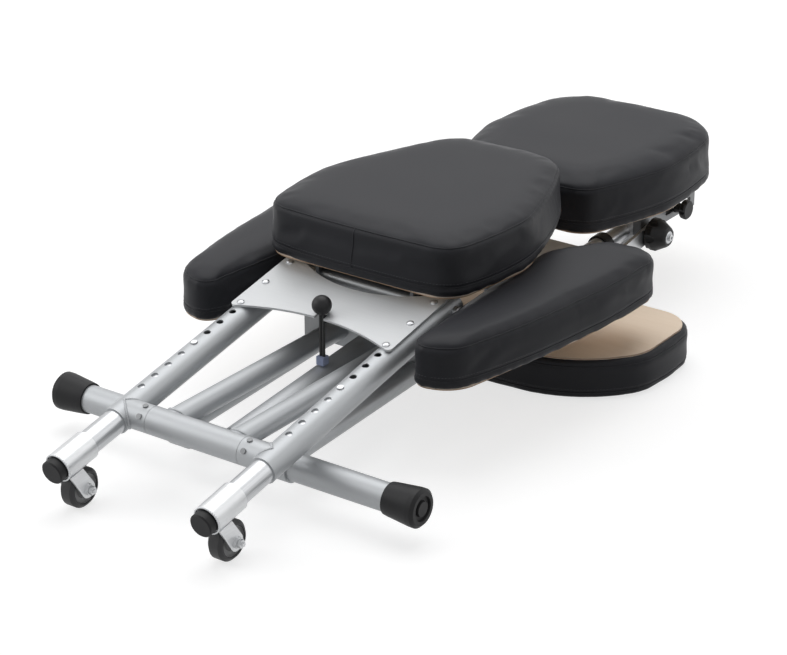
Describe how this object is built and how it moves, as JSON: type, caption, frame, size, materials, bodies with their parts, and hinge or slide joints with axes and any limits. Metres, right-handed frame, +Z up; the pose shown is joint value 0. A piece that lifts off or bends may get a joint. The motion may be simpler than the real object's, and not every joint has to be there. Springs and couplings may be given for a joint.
{
  "type": "folding massage chair",
  "caption": "Portable massage chair folded flat: padded seat, chest, knee and arm pads on a tubular frame with telescoping legs, castors and clamp knobs",
  "frame": {"origin": "middle of the footprint of the folded chair, on the floor", "axes": "X across the chair to its right, Y from the castors to the chest pad, Z up"},
  "size_m": [0.5588, 1.1526, 0.254],
  "materials": {
    "frame_paint": "satin silver-grey powder coat",
    "polished_steel": "polished",
    "zinc_steel": "zinc plated",
    "bare_plate": "satin, bare",
    "black_rubber": "matt moulded",
    "black_plastic": "fine texture",
    "grey_plastic": "blue-grey",
    "plywood": "sanded birch",
    "upholstery": "grained leatherette",
    "cord": "braided elastic"
  },
  "bodies": {
    "base": {"foot_bar": "frame_paint", "foot_tips": "black_rubber", "spine_tube": "frame_paint", "pivot_sleeve": "frame_paint", "hinge_struts": "frame_paint", "strut_bridge": "frame_paint", "prop_foot": "black_rubber"},
    "leg_frame": {"leg_tube_left": "frame_paint", "leg_tube_right": "frame_paint", "hinge_bar": "frame_paint", "hinge_screws": "zinc_steel", "leg_plate": "bare_plate", "plate_rivets": "zinc_steel", "pivot_rod": "polished_steel", "acorn_nuts": "polished_steel", "bungee_ball": "black_plastic", "bungee_cord": "cord", "cord_clip": "grey_plastic"},
    "seat": {"seat_board": "plywood", "seat_pad": "upholstery", "seat_channel": "zinc_steel", "channel_bushes": "black_plastic"},
    "column": {"rail_left": "frame_paint", "rail_right": "frame_paint", "rail_rings": "black_plastic", "cross_plate": "zinc_steel", "cross_rivets": "zinc_steel", "knee_brackets": "zinc_steel", "knee_board_left": "plywood", "knee_board_right": "plywood", "knee_pad_left": "upholstery", "knee_pad_right": "upholstery"},
    "carrier": {"inner_rail_left": "polished_steel", "inner_rail_right": "polished_steel", "clamp_blocks": "zinc_steel", "carrier_bar": "zinc_steel", "slide_bars": "zinc_steel", "arm_studs": "zinc_steel"},
    "chest": {"chest_board": "plywood", "chest_pad": "upholstery", "chest_brackets": "zinc_steel"},
    "armrest": {"armrest_board": "plywood", "armrest_pad": "upholstery", "armrest_arms": "zinc_steel"},
    "lower_leg_left": {"inner_leg_left": "polished_steel", "leg_cap_left": "black_rubber", "caster_fork_left": "polished_steel", "caster_axle_left": "zinc_steel"},
    "wheel_left": {"caster_wheel_left": "black_rubber"},
    "button_left": {"snap_button_left": "zinc_steel"},
    "clamp_knob_left": {"clamp_knob_left": "black_plastic"},
    "slide_knob_left": {"slide_knob_left": "black_plastic"},
    "lower_leg_right": {"inner_leg_right": "polished_steel", "leg_cap_right": "black_rubber", "caster_fork_right": "polished_steel", "caster_axle_right": "zinc_steel"},
    "wheel_right": {"caster_wheel_right": "black_rubber"},
    "button_right": {"snap_button_right": "zinc_steel"},
    "clamp_knob_right": {"clamp_knob_right": "black_plastic"},
    "slide_knob_right": {"slide_knob_right": "black_plastic"}
  },
  "joints": [
    {"name": "leg_fold", "type": "hinge", "parent": "base", "child": "leg_frame", "pos_m": [0, -0.43954, 0.08682], "axis": [1, 0, 0], "range_deg": [0, 60]},
    {"name": "seat_level", "type": "hinge", "parent": "leg_frame", "child": "seat", "pos_m": [0, -0.09836, 0.15438], "axis": [1, 0, 0], "range_deg": [-60, 0]},
    {"name": "column_raise", "type": "hinge", "parent": "base", "child": "column", "pos_m": [0, -0.37534, 0.0465], "axis": [1, 0, 0], "range_deg": [0, 36]},
    {"name": "column_extend", "type": "slide", "parent": "column", "child": "carrier", "axis": [0, 0.9988, 0.048], "range_m": [0, 0.12]},
    {"name": "chest_adjust", "type": "slide", "parent": "carrier", "child": "chest", "axis": [0, 1, 0], "range_m": [-0.008, 0.035]},
    {"name": "armrest_swing", "type": "hinge", "parent": "carrier", "child": "armrest", "pos_m": [0, 0.40186, 0.092], "axis": [1, 0, 0], "range_deg": [0, 144]},
    {"name": "leg_extend_left", "type": "slide", "parent": "leg_frame", "child": "lower_leg_left", "axis": [0, -0.981, -0.1942], "range_m": [-0.0254, 0.1016], "deforming": ["snap_button_left"]},
    {"name": "wheel_spin_left", "type": "hinge", "parent": "lower_leg_left", "child": "wheel_left", "pos_m": [-0.1106, -0.52781, 0.025], "axis": [1, 0, 0], "continuous": true},
    {"name": "button_press_left", "type": "slide", "parent": "lower_leg_left", "child": "button_left", "axis": [0, 0.1942, -0.981], "range_m": [0, 0.004], "stiffness_N_per_m": 500},
    {"name": "clamp_turn_left", "type": "hinge", "parent": "carrier", "child": "clamp_knob_left", "pos_m": [-0.119, 0.40186, 0.092], "axis": [1, 0, 0], "continuous": true},
    {"name": "knob_turn_left", "type": "hinge", "parent": "chest", "child": "slide_knob_left", "pos_m": [-0.11, 0.48285, 0.103], "axis": [1, 0, 0], "continuous": true},
    {"name": "leg_extend_right", "type": "slide", "parent": "leg_frame", "child": "lower_leg_right", "axis": [0, -0.981, -0.1942], "range_m": [-0.0254, 0.1016], "deforming": ["snap_button_right"]},
    {"name": "wheel_spin_right", "type": "hinge", "parent": "lower_leg_right", "child": "wheel_right", "pos_m": [0.1106, -0.52781, 0.025], "axis": [1, 0, 0], "continuous": true},
    {"name": "button_press_right", "type": "slide", "parent": "lower_leg_right", "child": "button_right", "axis": [0, 0.1942, -0.981], "range_m": [0, 0.004], "stiffness_N_per_m": 500},
    {"name": "clamp_turn_right", "type": "hinge", "parent": "carrier", "child": "clamp_knob_right", "pos_m": [0.119, 0.40186, 0.092], "axis": [1, 0, 0], "continuous": true},
    {"name": "knob_turn_right", "type": "hinge", "parent": "chest", "child": "slide_knob_right", "pos_m": [0.11, 0.48285, 0.103], "axis": [1, 0, 0], "continuous": true}
  ],
  "couplings": [
    {"joint": "seat_level", "follows": "leg_fold", "ratio": -1},
    {"joint": "column_raise", "follows": "leg_fold", "ratio": 0.6},
    {"joint": "armrest_swing", "follows": "leg_fold", "ratio": 2.4}
  ]
}
